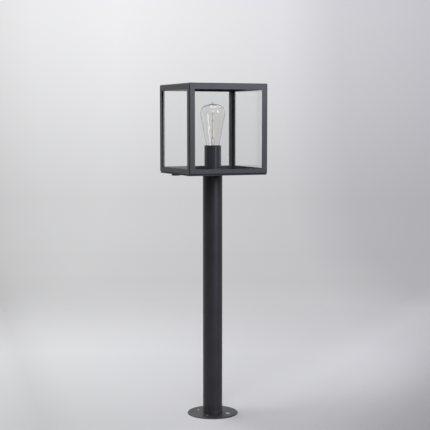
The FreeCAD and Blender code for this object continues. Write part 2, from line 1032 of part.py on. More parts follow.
def centre_contact():
    """Folded spring tongue on the insert, under the bulb's contact."""
    body = new_body("centre_contact")
    metal = size.contact_thickness
    fold = size.contact_foot
    tip = size.contact_tip
    profile = sketch_on(body, "XZ_Plane", lift=-size.contact_width / 2)
    draw_outline(
        profile,
        [
            (-fold, ZERO),
            (fold, ZERO),
            (-tip, size.contact_rise),
            (-tip - metal, size.contact_rise - metal),
            (fold - metal * 3, metal),
            (-fold, metal),
        ],
    )
    pad(body, profile, size.contact_width)
    return place(body, z=level.shell)


# Bulb

def bulb_outline(inset):
    """Half outline of the glass, from the neck's foot to the axis, moved inwards by an inset."""
    top = size.bulb_dome_height.value
    shoulder = size.bulb_shoulder_radius.value
    shoulder_x = size.bulb_diameter.value / 2 - shoulder
    shoulder_z = size.bulb_widest_height.value
    rise = top - shoulder - shoulder_z
    dome_z = shoulder_z + (rise**2 - shoulder_x**2) / (2 * rise)
    dome = top - dome_z - inset
    shoulder -= inset
    meet = math.atan2(shoulder_z - dome_z, shoulder_x)
    neck_x = size.bulb_neck_radius.value - inset
    flare_x = size.bulb_flare_radius.value - inset
    flare_z = size.bulb_flare_height.value
    reach = math.hypot(flare_x - shoulder_x, shoulder_z - flare_z)
    bearing = math.atan2(flare_z - shoulder_z, flare_x - shoulder_x)
    touch = bearing + math.acos(shoulder / reach)

    def on_shoulder(angle):
        return Vector(shoulder_x + shoulder * math.cos(angle), 0, shoulder_z + shoulder * math.sin(angle))

    def on_dome(angle):
        return Vector(dome * math.cos(angle), 0, dome_z + dome * math.sin(angle))

    foot = Vector(neck_x, 0, size.bulb_neck_height.value)
    neck = Vector(neck_x, 0, size.bulb_cap_height.value)
    flare = Vector(flare_x, 0, flare_z)
    crown = math.pi / 2 if inset else math.acos(size.bulb_pip_radius.value / dome)
    edges = [
        Part.LineSegment(foot, neck),
        Part.LineSegment(neck, flare),
        Part.LineSegment(flare, on_shoulder(touch)),
        Part.Arc(on_shoulder(touch), on_shoulder((touch + meet) / 2), on_shoulder(meet)),
        Part.Arc(on_dome(meet), on_dome((meet + crown) / 2), on_dome(crown)),
    ]
    end = on_dome(crown)
    if not inset:
        tip = Vector(0, 0, size.bulb_length.value)
        stand = tip.z - end.z
        pip = (end.x**2 + stand**2) / (2 * stand)
        halfway = math.atan2(end.x, pip - stand) / 2
        bulge = tip + Vector(pip * math.sin(halfway), 0, pip * (math.cos(halfway) - 1))
        edges.append(Part.Arc(end, bulge, tip))
        end = tip
    return [edge.toShape() for edge in edges], foot, end


def bulb_solid(inset):
    """The outline turned about the vertical axis and closed at the neck's foot."""
    edges, foot, end = bulb_outline(inset)
    floor = Vector(0, 0, foot.z)
    edges += [Part.LineSegment(end, floor).toShape(), Part.LineSegment(floor, foot).toShape()]
    face = Part.Face(Part.Wire(Part.__sortEdges__(edges)))
    return face.revolve(Vector(0, 0, 0), Z_AXIS, FULL_TURN)


def bulb_glass():
    """Clear pear-shaped envelope with a pip on its crown, open at the neck."""
    glass = doc.addObject("Part::Feature", "bulb_glass")
    glass.Label = "bulb_glass"
    glass.Shape = bulb_solid(0).cut(bulb_solid(size.bulb_wall.value))
    return place(glass, z=level.bulb)


def bulb_cap():
    """Metal screw cap of the bulb."""
    body = new_body("bulb_cap")
    outer = size.bulb_cap_diameter / 2
    inner = outer - size.bulb_cap_wall
    foot = size.bulb_contact_height + size.bulb_insulator_height
    shoulder = foot + size.bulb_cap_taper
    revolve(
        body,
        [
            (ZERO, foot),
            (size.bulb_insulator_radius, foot),
            (outer, shoulder),
            (outer, size.bulb_cap_height),
            (inner, size.bulb_cap_height),
            (inner, shoulder + size.bulb_cap_wall),
            (ZERO, shoulder + size.bulb_cap_wall),
        ],
    )
    return place(body, z=level.bulb)


def bulb_insulator():
    body = new_body("bulb_insulator")
    low = size.bulb_contact_height
    high = low + size.bulb_insulator_height
    revolve(
        body,
        [(ZERO, low), (size.bulb_contact_radius, low), (size.bulb_insulator_radius, high), (ZERO, high)],
    )
    return place(body, z=level.bulb)


def bulb_contact():
    body = new_body("bulb_contact")
    radius = size.bulb_contact_radius
    top = size.bulb_contact_height
    revolve(body, [(ZERO, ZERO), (radius - top, ZERO), (radius, top), (ZERO, top)])
    return place(body, z=level.bulb)


def bulb_stem():
    """Glass mount inside the neck, flared at its foot and pinched at its top."""
    body = new_body("bulb_stem")
    flare = size.bulb_neck_radius - size.bulb_wall - size.holder_clearance
    pinch = size.stem_height - size.stem_pinch
    revolve(
        body,
        [
            (ZERO, ZERO),
            (flare, ZERO),
            (flare, size.bulb_wall),
            (size.stem_radius, size.stem_flare_height),
            (size.stem_radius, pinch),
            (size.stem_top_radius, size.stem_height),
            (ZERO, size.stem_height),
        ],
    )
    return place(body, z=level.bulb + size.bulb_neck_height + size.bulb_wall)


def filament_support():
    """Rod on the stem with two crosses that hold the filaments between them."""
    body = new_body("filament_support")
    rod = sketch_on(body)
    draw_circle(rod, size.support_diameter)
    pad(body, rod, size.support_length)
    reach = size.filament_circle / 2 + size.cross_overrun
    half_width = size.cross_width / 2
    upper = size.filament_stand + size.cross_thickness + size.filament_length
    for height in (size.filament_stand, upper):
        for across, along in ((reach, half_width), (half_width, reach)):
            arm = sketch_on(body, lift=height)
            draw_rectangle(arm, across, along)
            pad(body, arm, size.cross_thickness)
    return place(body, z=level.stem_top)


def filaments():
    members = []
    thick = size.filament_diameter
    for row in range(FILAMENT_COUNT):
        x, y = around(size.filament_circle, row * FULL_TURN / FILAMENT_COUNT)
        strip = cylinder(f"filament_{row}", thick, size.filament_length, x=x, y=y, z=level.filaments)
        members.append(strip)
    return group("filaments", members)


# The whole light

def build_all():
    """Every sub-part, in the order in which the light is put together."""
    parts = [base_plate(), cable_grommet(), *post_and_spigot(), grub_screws(), head_plate()]
    parts += [tray(), tray_screws(), *earth_terminal(), tray_gasket()]
    parts += [cage_ring(), *map(corner_post, QUARTERS), roof_cap()]
    parts += [*map(glass_pane, QUARTERS), glazing_tapes(), glazing_clips(), weld_nuts()]
    parts += [thumb_screw("left", -thumb_place), thumb_screw("right", thumb_place)]
    parts += [holder_cup(), threaded_nipple(), nipple_nut(), lampholder_cap(), contact_insert()]
    parts += [terminal_screws(), lampholder_body(), screw_shell(), centre_contact()]
    parts += [bulb_glass(), bulb_cap(), bulb_insulator(), bulb_contact(), bulb_stem()]
    parts += [filament_support(), filaments()]
    doc.recompute()
    return parts


def check(parts):
    """Stop if any object of the document failed or any sub-part has no sound shape."""
    failed = [thing.Label for thing in doc.Objects if {"Invalid", "Error"} & set(thing.State)]
    unsound = [part.Label for part in parts if part.Shape.isNull() or not part.Shape.isValid()]
    if failed or unsound:
        raise RuntimeError(f"failed: {failed}, unsound: {unsound}")


def export(parts):
    os.makedirs("parts", exist_ok=True)
    for part in parts:
        part.Shape.exportStep(f"parts/{part.Label}.step")
        print(f"{part.Label}: {len(part.Shape.Solids)} solids, {part.Shape.Volume / 1000:.2f} cm3")


light = build_all()
check(light)
export(light)
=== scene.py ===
"""Looks of an outdoor post light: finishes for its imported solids, a few fine pieces, and a plain studio."""

import logging
import math
from abc import ABC, abstractmethod
from collections.abc import Iterable
from dataclasses import dataclass, field
from enum import Enum
from functools import reduce
from typing import NamedTuple

import bpy
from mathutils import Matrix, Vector

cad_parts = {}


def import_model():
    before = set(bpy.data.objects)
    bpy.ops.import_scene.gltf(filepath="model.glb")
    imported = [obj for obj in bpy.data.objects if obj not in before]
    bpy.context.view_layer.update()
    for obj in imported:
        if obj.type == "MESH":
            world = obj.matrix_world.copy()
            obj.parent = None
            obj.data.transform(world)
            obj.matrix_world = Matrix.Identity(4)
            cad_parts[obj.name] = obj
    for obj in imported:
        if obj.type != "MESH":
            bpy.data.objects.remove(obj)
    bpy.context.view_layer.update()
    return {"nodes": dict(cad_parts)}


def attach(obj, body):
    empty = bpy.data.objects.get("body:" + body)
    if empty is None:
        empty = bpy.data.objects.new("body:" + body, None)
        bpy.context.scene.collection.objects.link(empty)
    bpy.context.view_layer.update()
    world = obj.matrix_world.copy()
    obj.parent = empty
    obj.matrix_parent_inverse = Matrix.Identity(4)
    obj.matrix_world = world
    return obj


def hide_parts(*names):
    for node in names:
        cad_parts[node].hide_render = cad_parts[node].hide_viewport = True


log = logging.getLogger("post_light")

MM = 0.001
# Where most of a noise pattern's values lie.
NOISE_BAND = (0.30, 0.70)
# Radians that Blender's wave pattern runs through in a metre at a scale of 1.
WAVE_RATE = 20.0

Colour = tuple[float, float, float]
Point = tuple[float, float, float]
Span = tuple[float, float]
Pairs = tuple[tuple[float, float], ...]
Socket = bpy.types.NodeSocket


class Slot(Enum):
    """The record's material slots."""

    COAT = "black_coat"
    PANE = "pane_glass"
    BULB = "bulb_clear"
    RUBBER = "black_rubber"
    STEEL = "zinc_steel"
    BRASS = "yellow_brass"
    NICKEL = "nickel_cap"
    PORCELAIN = "white_porcelain"
    MOULDING = "black_moulding"
    PHOSPHOR = "yellow_phosphor"


class Body(Enum):
    """The bodies that added pieces move with."""

    ROOT = "root"
    BULB = "bulb"


class Ray(Enum):
    """The kinds of ray that a surface can tell apart."""

    CAMERA = "Is Camera Ray"
    SHADOW = "Is Shadow Ray"
    GLOSSY = "Is Glossy Ray"
    REFLECTED = "Is Reflection Ray"
    TRANSMITTED = "Is Transmission Ray"


class Recipe:
    """A material's node tree, with the steps that the finishes share."""

    # A mix node's sockets for colours: the factor, the two colours, and the result.
    MIX_INPUTS = (0, 6, 7)
    MIX_OUTPUT = 2

    def __init__(self, name: str) -> None:
        """Starts a material with one principled shader.

        Args:
            name: the material's name.
        """
        self.material = bpy.data.materials.new(name)
        self.material.use_nodes = True
        self.tree = self.material.node_tree
        self.tree.nodes.clear()
        self.output = self.add("ShaderNodeOutputMaterial")
        self.shader = self.add("ShaderNodeBsdfPrincipled")
        self.join(self.shader.outputs["BSDF"], self.output.inputs["Surface"])
        self.place = self.add("ShaderNodeTexCoord").outputs["Object"]

    def add(self, kind: str, **settings: object) -> bpy.types.Node:
        """Adds a node.

        Args:
            kind: the node's type name.
            **settings: properties to set on it.

        Returns:
            The new node.
        """
        node = self.tree.nodes.new(kind)
        for name, value in settings.items():
            setattr(node, name, value)
        return node

    def join(self, source: Socket, target: Socket) -> None:
        """Links two sockets."""
        self.tree.links.new(source, target)

    def set(self, **values: object) -> None:
        """Sets the shader's own sockets.

        Args:
            **values: socket names, with underscores for spaces, and their values.
        """
        for name, value in values.items():
            self.shader.inputs[name.replace("_", " ")].default_value = value

    def stretched(self, scale: Point) -> Socket:
        """Object coordinates with a scale for each axis.

        Args:
            scale: the three factors.

        Returns:
            The coordinates' socket.
        """
        mapping = self.add("ShaderNodeMapping")
        mapping.inputs["Scale"].default_value = scale
        self.join(self.place, mapping.inputs["Vector"])
        return mapping.outputs["Vector"]

    def noise(self, scale: float, detail: float, place: Socket | None = None) -> Socket:
        """A cloudy pattern.

        Args:
            scale: repeats for each metre.
            detail: finer layers on top.
            place: coordinates to read, or None for the object's own.

        Returns:
            The pattern's value socket.
        """
        node = self.add("ShaderNodeTexNoise")
        node.inputs["Scale"].default_value = scale
        node.inputs["Detail"].default_value = detail
        self.join(place or self.place, node.inputs["Vector"])
        return node.outputs["Fac"]

    def ranged(self, source: Socket, start: Span, end: Span) -> Socket:
        """Maps a value from one range to another.

        Args:
            source: the value.
            start: the range that it comes in.
            end: the range that it goes to.

        Returns:
            The mapped value's socket.
        """
        node = self.add("ShaderNodeMapRange")
        for name, value in zip(("From Min", "From Max", "To Min", "To Max"), (*start, *end)):
            node.inputs[name].default_value = value
        self.join(source, node.inputs["Value"])
        return node.outputs["Result"]

    def tones(self, source: Socket, stops: Iterable[tuple[float, Colour]]) -> Socket:
        """Colours along a value.

        Args:
            source: the value.
            stops: places from 0 to 1, each with its colour.

        Returns:
            The colour's socket.
        """
        node = self.add("ShaderNodeValToRGB")
        stops = list(stops)
        elements = node.color_ramp.elements
        while len(elements) < len(stops):
            elements.new(1.0)
        for element, (position, colour) in zip(elements, stops):
            element.position = position
            element.color = (*colour, 1.0)
        self.join(source, node.inputs["Fac"])
        return node.outputs["Color"]

    def bump(self, layers: Iterable[tuple[Socket, float]]) -> None:
        """Stacks height patterns on the shader's normal.

        Args:
            layers: patterns, each with its height in metres.
        """
        last = None
        for source, height in layers:
            node = self.add("ShaderNodeBump")
            node.inputs["Strength"].default_value = 1.0
            node.inputs["Distance"].default_value = height
            self.join(source, node.inputs["Height"])
            if last is not None:
                self.join(last.outputs["Normal"], node.inputs["Normal"])
            last = node
        if last is not None:
            self.join(last.outputs["Normal"], self.shader.inputs["Normal"])

    def met_by(self, ray: Ray) -> Socket:
        """Whether a kind of ray meets the surface."""
        return self.add("ShaderNodeLightPath").outputs[ray.value]

    def mixed(self, share: Socket, first: Socket, second: Socket) -> Socket:
        """Mixes two shaders.

        Args:
            share: the second shader's share.
            first: the shader at a share of 0.
            second: the shader at a share of 1.

        Returns:
            The mixed shader's socket.
        """
        node = self.add("ShaderNodeMixShader")
        for source, target in zip((share, first, second), node.inputs):
            self.join(source, target)
        return node.outputs["Shader"]

    def along(self, direction: Point) -> Socket:
        """The object's coordinate along a direction, in metres.

        Args:
            direction: the direction.

        Returns:
            The coordinate's socket.
        """
        node = self.add("ShaderNodeVectorMath", operation="DOT_PRODUCT")
        node.inputs[1].default_value = direction
        self.join(self.place, node.inputs[0])
        return node.outputs["Value"]

    def times(self, first: Socket, second: Socket) -> Socket:
        """The product of two colours or values.

        Args:
            first: the one.
            second: the other.

        Returns:
            The product's socket.
        """
        node = self.add("ShaderNodeVectorMath", operation="MULTIPLY")
        self.join(first, node.inputs[0])
        self.join(second, node.inputs[1])
        return node.outputs["Vector"]

    def turning(self, share: Socket, first: Socket, second: Colour | Socket) -> Socket:
        """Turns a colour or value into another where a share is 1.

        Args:
            share: how far it has turned.
            first: what it is at a share of 0.
            second: what it is at a share of 1.

        Returns:
            The colour's socket.
        """
        node = self.add("ShaderNodeMix", data_type="RGBA")
        factor, start, end = (node.inputs[index] for index in self.MIX_INPUTS)
        self.join(share, factor)
        self.join(first, start)
        if isinstance(second, tuple):
            end.default_value = (*second, 1.0)
        else:
            self.join(second, end)
        return node.outputs[self.MIX_OUTPUT]

    def driven(self, name: str) -> Socket:
        """What drives one of the shader's sockets."""
        return self.shader.inputs[name].links[0].from_socket

    def colour(self, source: Socket) -> None:
        """Drives the base colour."""
        self.join(source, self.shader.inputs["Base Color"])

    def roughness(self, source: Socket) -> None:
        """Drives the roughness."""
        self.join(source, self.shader.inputs["Roughness"])


class Finish(ABC):
    """One surface finish of the light."""

    def material(self, name: str) -> bpy.types.Material:
        """Makes the finish.

        Args:
            name: the material's name.

        Returns:
            The material.
        """
        recipe = Recipe(name)
        self.mix(recipe)
        return recipe.material

    @abstractmethod
    def mix(self, recipe: Recipe) -> None:
        """Lays out the finish's nodes.

        Args:
            recipe: the material's node tree.
        """


@dataclass(frozen=True)
class PowderCoat(Finish):
    """Satin black powder coat, baked on sheet metal, with a faint orange peel."""

    deep: Colour = (0.0105, 0.0105, 0.0130)
    thin: Colour = (0.0160, 0.0160, 0.0195)
    tone_band: Span = (0.30, 0.72)
    satin: Span = (0.44, 0.48)
    cloud_scale: float = 16.0
    peel_scale: float = 420.0
    peel_height: float = 0.020 * MM
    grain_scale: float = 1700.0
    grain_height: float = 0.006 * MM

    def mix(self, recipe: Recipe) -> None:
        """Lays a cloudy tone and gloss over the peel and a finer grain.

        Args:
            recipe: the material's node tree.
        """
        clouds = recipe.noise(scale=self.cloud_scale, detail=4.0)
        peel = recipe.noise(scale=self.peel_scale, detail=1.0)
        grain = recipe.noise(scale=self.grain_scale, detail=2.0)
        recipe.colour(recipe.tones(clouds, zip(self.tone_band, (self.deep, self.thin))))
        recipe.roughness(recipe.ranged(clouds, NOISE_BAND, self.satin))
        recipe.bump([(peel, self.peel_height), (grain, self.grain_height)])


@dataclass(frozen=True)
class DrilledCoat(PowderCoat):
    """Powder coat on a plate with bare metal in two opposite countersinks, painted paler in the front right one,
    where the post shades it.
    """

    hole: Point = (-30.41 * MM, 30.41 * MM, 0.0)
    cut_radius: float = 5.7 * MM
    cut_top: float = 2.97 * MM
    blur: float = 0.06 * MM
    # Painted light: the bare metal's tone goes from dull at the back left to bright at the front right, where the
    # post shades the countersink.
    painted_lift_span: Span = (-10.0 * MM, 10.0 * MM)
    dull: Colour = (0.19, 0.19, 0.20)
    bright: Colour = (0.75, 0.75, 0.77)
    bare_gloss: float = 0.45

    def mix(self, recipe: Recipe) -> None:
        """Bares the metal in one countersink and in the one across from it. Painted light: the front right one's
        metal is paler, where the post shades it, and the back left one's is painted duller.

        Args:
            recipe: the material's node tree.
        """
        super().mix(recipe)
        level = recipe.add("ShaderNodeVectorMath", operation="MULTIPLY")
        level.inputs[1].default_value = (1.0, 1.0, 0.0)
        recipe.join(recipe.place, level.inputs[0])
        nearest = recipe.add("ShaderNodeMath", operation="MINIMUM")
        for index, side in enumerate((1.0, -1.0)):
            gap = recipe.add("ShaderNodeVectorMath", operation="DISTANCE")
            gap.inputs[1].default_value = [side * value for value in self.hole]
            recipe.join(level.outputs["Vector"], gap.inputs[0])
            recipe.join(gap.outputs["Value"], nearest.inputs[index])
        inside = recipe.ranged(nearest.outputs["Value"], (self.cut_radius - self.blur, self.cut_radius), (1.0, 0.0))
        below = recipe.ranged(recipe.along((0.0, 0.0, 1.0)), (self.cut_top - self.blur, self.cut_top), (1.0, 0.0))
        cut = recipe.add("ShaderNodeMath", operation="MULTIPLY")
        recipe.join(inside, cut.inputs[0])
        recipe.join(below, cut.inputs[1])
        share = cut.outputs["Value"]
        gloss = (self.bare_gloss,) * 3
        # Painted light: paler bare metal in the front right countersink, which the post shades.
        painted_lift_share = recipe.ranged(recipe.along((-1.0, 1.0, 0.0)), self.painted_lift_span, (1.0, 0.0))
        bare_tone_with_painted_lift = recipe.tones(painted_lift_share, [(0.0, self.dull), (1.0, self.bright)])
        recipe.colour(recipe.turning(share, recipe.driven("Base Color"), bare_tone_with_painted_lift))
        recipe.roughness(recipe.turning(share, recipe.driven("Roughness"), gloss))
        recipe.join(share, recipe.shader.inputs["Metallic"])


@dataclass(frozen=True)
class ClearGlass(Finish):
    """Clear glass with faint wipe marks, which lets the lamps' light through."""

    tint: Colour
    passed: Colour
    bend: float
    wave_height: float
    wave_scale: float
    smear: float
    wipe_scale: float = 9.0
    wipe_stretch: Point = (1.0, 1.0, 0.35)
    wipe_band: Span = (0.56, 0.80)

    def mix(self, recipe: Recipe) -> None:
        """Waves and wipes the glass, and clears the way for the lamps' rays.

        Args:
            recipe: the material's node tree.
        """
        recipe.set(Base_Color=(*self.tint, 1.0), IOR=self.bend, Transmission_Weight=1.0)
        wipes = recipe.noise(scale=self.wipe_scale, detail=5.0, place=recipe.stretched(self.wipe_stretch))
        recipe.roughness(recipe.ranged(wipes, self.wipe_band, (0.0, self.smear)))
        recipe.bump([(recipe.noise(scale=self.wave_scale, detail=0.0), self.wave_height)])
        clear = recipe.add("ShaderNodeBsdfTransparent")
        clear.inputs["Color"].default_value = (*self.passed, 1.0)
        seen = recipe.shader.outputs["BSDF"]
        for ray in (Ray.REFLECTED, Ray.SHADOW):
            seen = recipe.mixed(recipe.met_by(ray), seen, clear.outputs["BSDF"])
        recipe.join(seen, recipe.output.inputs["Surface"])


@dataclass(frozen=True)
class BareMetal(Finish):
    """Plated or rolled metal with cloudy tone and fine drawn lines."""

    bright: Colour
    dull: Colour
    gloss: Span
    tone_band: Span = (0.32, 0.68)
    cloud_scale: float = 140.0
    lines: Point = (900.0, 900.0, 60.0)
    line_height: float = 0.004 * MM

    def mix(self, recipe: Recipe) -> None:
        """Clouds the metal's tone and draws lines along it.

        Args:
            recipe: the material's node tree.
        """
        recipe.set(Metallic=1.0)
        clouds = recipe.noise(scale=self.cloud_scale, detail=3.0)
        drawn = recipe.noise(scale=1.0, detail=2.0, place=recipe.stretched(self.lines))
        recipe.colour(recipe.tones(clouds, zip(self.tone_band, (self.dull, self.bright))))
        recipe.roughness(recipe.ranged(drawn, NOISE_BAND, self.gloss))
        recipe.bump([(drawn, self.line_height)])


@dataclass(frozen=True)
class Moulded(Finish):
    """Rubber, plastic or fired clay: one tone with specks, and a grain."""

    tone: Colour
    speck: Colour
    gloss: Span
    grain_scale: float
    grain_height: float
    tone_band: Span = (0.35, 0.75)
    cloud_scale: float = 60.0
    glaze: float = 0.0
    glaze_roughness: float = 0.06

    def mix(self, recipe: Recipe) -> None:
        """Specks the tone, and puts a glaze on where there is one.

        Args:
            recipe: the material's node tree.
        """
        recipe.set(Coat_Weight=self.glaze, Coat_Roughness=self.glaze_roughness)
        clouds = recipe.noise(scale=self.cloud_scale, detail=4.0)
        grain = recipe.noise(scale=self.grain_scale, detail=2.0)
        recipe.colour(recipe.tones(clouds, zip(self.tone_band, (self.tone, self.speck))))
        recipe.roughness(recipe.ranged(clouds, NOISE_BAND, self.gloss))
        recipe.bump([(grain, self.grain_height)])


@dataclass(frozen=True)
class Phosphor(Finish):
    """Yellow phosphor over a row of tiny chips, which show as pale bands."""

    deep: Colour = (0.93, 0.90, 0.67)
    pale: Colour = (0.97, 0.95, 0.79)
    tone_band: Span = (0.25, 0.80)
    gloss: Span = (0.35, 0.50)
    chip_pitch: float = 1.6 * MM
    chip_drift: float = 0.3
    grain_scale: float = 1500.0
    grain_height: float = 0.01 * MM
    glow_weight: float = 0.15
    glow_depth: float = 0.5 * MM

    def mix(self, recipe: Recipe) -> None:
        """Bands the phosphor at the chips' pitch, and lets light a little way in.

        Args:
            recipe: the material's node tree.
        """
        recipe.set(Subsurface_Weight=self.glow_weight, Subsurface_Scale=self.glow_depth)
        wave = recipe.add("ShaderNodeTexWave", bands_direction="Z")
        wave.inputs["Scale"].default_value = math.tau / (self.chip_pitch * WAVE_RATE)
        wave.inputs["Distortion"].default_value = self.chip_drift
        recipe.join(recipe.place, wave.inputs["Vector"])
        recipe.colour(recipe.tones(wave.outputs["Fac"], zip(self.tone_band, (self.deep, self.pale))))
        recipe.roughness(recipe.ranged(wave.outputs["Fac"], (0.0, 1.0), self.gloss))
        recipe.bump([(recipe.noise(scale=self.grain_scale, detail=2.0), self.grain_height)])


FINISHES: dict[Slot, Finish] = {
    Slot.COAT: PowderCoat(),
    Slot.PANE: ClearGlass(
        tint=(0.990, 0.996, 0.994), passed=(0.965, 0.97, 0.968), bend=1.45,
        wave_height=0.010 * MM, wave_scale=7.0, smear=0.03,
    ),
    Slot.BULB: ClearGlass(
        tint=(0.998, 0.990, 0.976), passed=(0.985, 0.98, 0.97), bend=1.42,
        wave_height=0.030 * MM, wave_scale=45.0, smear=0.02,
    ),
    Slot.RUBBER: Moulded(
        tone=(0.016, 0.016, 0.016), speck=(0.026, 0.026, 0.025), gloss=(0.62, 0.74),
        grain_scale=1300.0, grain_height=0.02 * MM,
    ),
    Slot.STEEL: BareMetal(bright=(0.66, 0.67, 0.68), dull=(0.50, 0.51, 0.53), gloss=(0.26, 0.42)),
    Slot.BRASS: BareMetal(bright=(0.80, 0.60, 0.27), dull=(0.62, 0.44, 0.17), gloss=(0.22, 0.38)),
    Slot.NICKEL: BareMetal(bright=(0.72, 0.70, 0.66), dull=(0.58, 0.57, 0.54), gloss=(0.18, 0.32)),
    Slot.PORCELAIN: Moulded(
        tone=(0.80, 0.79, 0.76), speck=(0.74, 0.72, 0.68), gloss=(0.18, 0.28),
        grain_scale=500.0, grain_height=0.01 * MM, glaze=0.5,
    ),
    Slot.MOULDING: Moulded(
        tone=(0.014, 0.014, 0.015), speck=(0.022, 0.022, 0.023), gloss=(0.42, 0.56),
        grain_scale=1100.0, grain_height=0.02 * MM,
    ),
    Slot.PHOSPHOR: Phosphor(),
}


class Workshop:
    """Hands out each finish's material, made once."""

    def __init__(self, nodes: dict[str, bpy.types.Object]) -> None:
        """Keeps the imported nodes.

        Args:
            nodes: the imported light's objects by name.
        """
        self.nodes = nodes
        self.made: dict[Finish, bpy.types.Material] = {}

    def material(self, slot: Slot, finish: Finish | None = None) -> bpy.types.Material:
        """The material of a slot.

        Args:
            slot: the slot.
            finish: a variant of the slot's finish, or None for the finish itself.

        Returns:
            The material, made at its first use.
        """
        finish = finish or FINISHES[slot]
        if finish not in self.made:
            self.made[finish] = finish.material(slot.value)
        return self.made[finish]

    def paint(self, obj: bpy.types.Object, slot: Slot, finish: Finish | None = None) -> None:
        """Gives an object a slot's material, or a variant of it, as its only one."""
        obj.data.materials.clear()
        obj.data.materials.append(self.material(slot, finish))

    def dress(self, slot: Slot, names: Iterable[str], finish: Finish | None = None) -> None:
        """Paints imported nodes.

        Args:
            slot: the finish's slot.
            names: the nodes' names.
            finish: a variant of the slot's finish, or None for the finish itself.
        """
        for name in names:
            self.paint(self.nodes[name], slot, finish)
            log.info("%s dressed in %s", name, slot.value)

    def add_piece(self, obj: bpy.types.Object, name: str, slot: Slot, body: Body, *stands_for: str) -> None:
        """Takes a finished piece into the light.

        Args:
            obj: the piece, with its place in its mesh.
            name: its name.
            slot: its finish's slot.
            body: the body that it moves with.
            *stands_for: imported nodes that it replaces.
        """
        obj.name = obj.data.name = name
        self.paint(obj, slot)
        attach(obj, body.value)
        if stands_for:
            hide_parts(*stands_for)
        log.info("%s made, %d faces", name, len(obj.data.polygons))


class Ring(NamedTuple):
    """A level ring of points."""

    radius: float
    centre: Point


class Recess(Enum):
    """Driver recesses of screws."""

    HEXAGON = "hexagon"
    CROSS = "cross"


class Merge(Enum):
    """Ways to combine two solids."""

    UNITE = "UNION"
    CUT_AWAY = "DIFFERENCE"


class Hand:
    """Modelling steps with Blender's own operators."""

    @staticmethod
    def clear() -> None:
        """Deselects everything."""
        bpy.ops.object.select_all(action="DESELECT")

    @staticmethod
    def pick(obj: bpy.types.Object) -> None:
        """Makes an object the only selected one, and the active one.

        Args:
            obj: the object.
        """
        Hand.clear()
        obj.select_set(True)
        bpy.context.view_layer.objects.active = obj

    @staticmethod
    def apply(obj: bpy.types.Object) -> None:
        """Applies every modifier of an object.

        Args:
            obj: the object.
        """
        Hand.pick(obj)
        for modifier in list(obj.modifiers):
            bpy.ops.object.modifier_apply(modifier=modifier.name)

    @staticmethod
    def settle(obj: bpy.types.Object) -> None:
        """Moves an object's place, turn and scale into its mesh."""
        Hand.pick(obj)
        bpy.ops.object.transform_apply(location=True, rotation=True, scale=True)

    @staticmethod
    def smooth(obj: bpy.types.Object, degrees: float) -> None:
        """Shades an object smoothly where its faces meet at less than an angle."""
        Hand.pick(obj)
        bpy.ops.object.shade_smooth_by_angle(angle=math.radians(degrees))

    @staticmethod
    def raise_ring(start: Ring, end: Ring) -> None:
        """Extrudes the selected ring of points to another place and radius.

        Args:
            start: the ring as it is.
            end: the ring that the extruded points form.
        """
        factor = end.radius / start.radius
        bpy.ops.mesh.extrude_region()
        bpy.ops.transform.translate(value=Vector(end.centre) - Vector(start.centre))
        bpy.ops.transform.resize(value=(factor, factor, 1), center_override=end.centre)

    @staticmethod
    def lofted(rings: list[Ring], steps: int) -> bpy.types.Object:
        """Raises a solid from ring to ring, and closes its ends unless the last ring meets the first.

        Args:
            rings: the level rings, in order.
            steps: sides of each ring.

        Returns:
            The solid.
        """
        Hand.clear()
        bpy.ops.mesh.primitive_circle_add(vertices=steps, radius=rings[0].radius, location=rings[0].centre)
        obj = bpy.context.object
        Hand.settle(obj)
        bpy.ops.object.mode_set(mode="EDIT")
        bpy.ops.mesh.select_all(action="SELECT")
        for start, end in zip(rings, rings[1:]):
            Hand.raise_ring(start, end)
        bpy.ops.mesh.select_all(action="SELECT")
        bpy.ops.mesh.remove_doubles(threshold=1e-6)
        bpy.ops.mesh.fill_holes(sides=0)
        bpy.ops.mesh.normals_make_consistent(inside=False)
        bpy.ops.object.mode_set(mode="OBJECT")
        return obj

    @staticmethod
    def turned(profile: Iterable[Span], steps: int) -> bpy.types.Object:
        """Turns a solid about the vertical axis.

        Args:
            profile: radius and height of each ring, in metres.
            steps: sides of each ring.

        Returns:
            The turned solid.
        """
        return Hand.lofted([Ring(radius, (0.0, 0.0, height)) for radius, height in profile], steps)

    @staticmethod
    def combine(obj: bpy.types.Object, other: bpy.types.Object, way: Merge) -> None:
        """Unites a solid with another or cuts the other away, which is used up.

        Args:
            obj: the solid that stays.
            other: the solid that is used up.
            way: how they are combined.
        """
        modifier = obj.modifiers.new("combine", "BOOLEAN")
        modifier.operation = way.value
        modifier.solver = "EXACT"
        modifier.object = other
        Hand.apply(obj)
        bpy.data.objects.remove(other)

    @staticmethod
    def joined(parts: list[bpy.types.Object]) -> bpy.types.Object:
        """Joins objects into the first of them, with their places in its mesh.

        Args:
            parts: the objects.

        Returns:
            The first object, which holds them all.
        """
        for part in parts:
            Hand.settle(part)
        Hand.pick(parts[0])
        for part in parts[1:]:
            part.select_set(True)
        if len(parts) > 1:
            bpy.ops.object.join()
        return bpy.context.object

    @staticmethod
    def repeated(obj: bpy.types.Object, places: Iterable[Point]) -> bpy.types.Object:
        """Copies an object to places and joins the copies.

        Args:
            obj: the pattern, which is used up.
            places: how far each copy is moved.

        Returns:
            The joined copies.
        """
        copies = []
        for place in places:
            Hand.pick(obj)
            bpy.ops.object.duplicate()
            bpy.ops.transform.translate(value=place)
            copies.append(bpy.context.object)
        bpy.data.objects.remove(obj)
        return Hand.joined(copies)

    @staticmethod
    def box(centre: Point, size: Point, turn: float = 0.0) -> bpy.types.Object:
        """A block, as a blank for cutting and joining.

        Args:
            centre: its middle.
            size: its three sides.
            turn: its turn about the vertical, in degrees.

        Returns:
            The block.
        """
        Hand.clear()
        bpy.ops.mesh.primitive_cube_add(size=1.0, location=centre, rotation=(0.0, 0.0, math.radians(turn)))
        bpy.context.object.scale = size
        Hand.settle(bpy.context.object)
        return bpy.context.object


